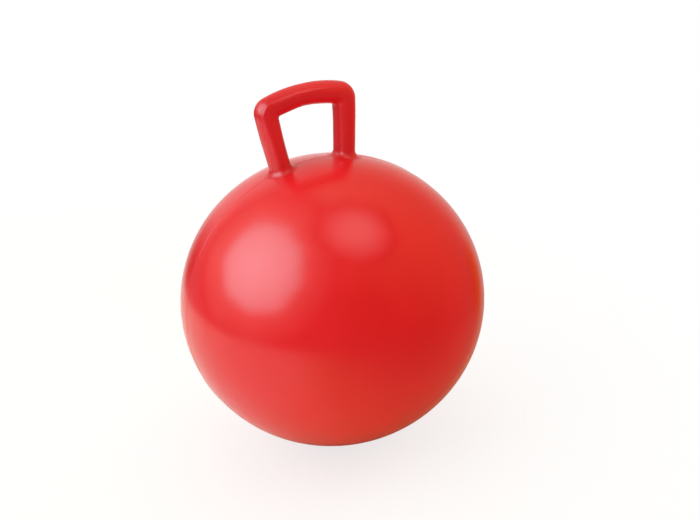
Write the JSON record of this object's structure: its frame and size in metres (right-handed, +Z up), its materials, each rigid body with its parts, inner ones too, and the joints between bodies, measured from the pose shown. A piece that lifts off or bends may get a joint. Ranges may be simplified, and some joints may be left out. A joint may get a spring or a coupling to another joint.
{
  "type": "hopper ball",
  "caption": "Blown-up vinyl ball to sit and bounce on, with a hollow loop handle moulded on its top and an air valve with a pull-out plug in its back.",
  "frame": {"origin": "on the floor under the middle of the ball, in the plane of the flat patch that it stands on", "axes": "+Z up through the middle of the handle; +X along the handle's bar, so that the loop lies in the XZ plane; +Y towards the valve in the ball's back"},
  "size_m": [0.4499, 0.4498, 0.5385],
  "materials": {
    "ball_vinyl": "glossy rotation-moulded soft PVC with a fine mould line",
    "handle_vinyl": "satin rotation-moulded soft PVC, slightly uneven",
    "valve_vinyl": "satin soft PVC bush welded into the skin",
    "plug_vinyl": "satin injection-moulded semi-rigid vinyl"
  },
  "bodies": {
    "ball": {"ball_skin": "ball_vinyl", "handle_root_left": "handle_vinyl", "handle_root_right": "handle_vinyl", "valve_seat": "valve_vinyl"},
    "handle": {"handle_loop": "handle_vinyl"},
    "plug": {"valve_plug": "plug_vinyl"}
  },
  "joints": [
    {"name": "handle_flex", "type": "hinge", "parent": "ball", "child": "handle", "pos_m": [0, 0, 0.4298], "axis": [1, 0, 0], "range_deg": [-12, 12], "stiffness_Nm_per_rad": 19, "deforming": ["handle_root_left", "handle_root_right"]},
    {"name": "plug_pull", "type": "slide", "parent": "ball", "child": "plug", "axis": [0, 1, 0], "range_m": [0, 0.04]}
  ]
}
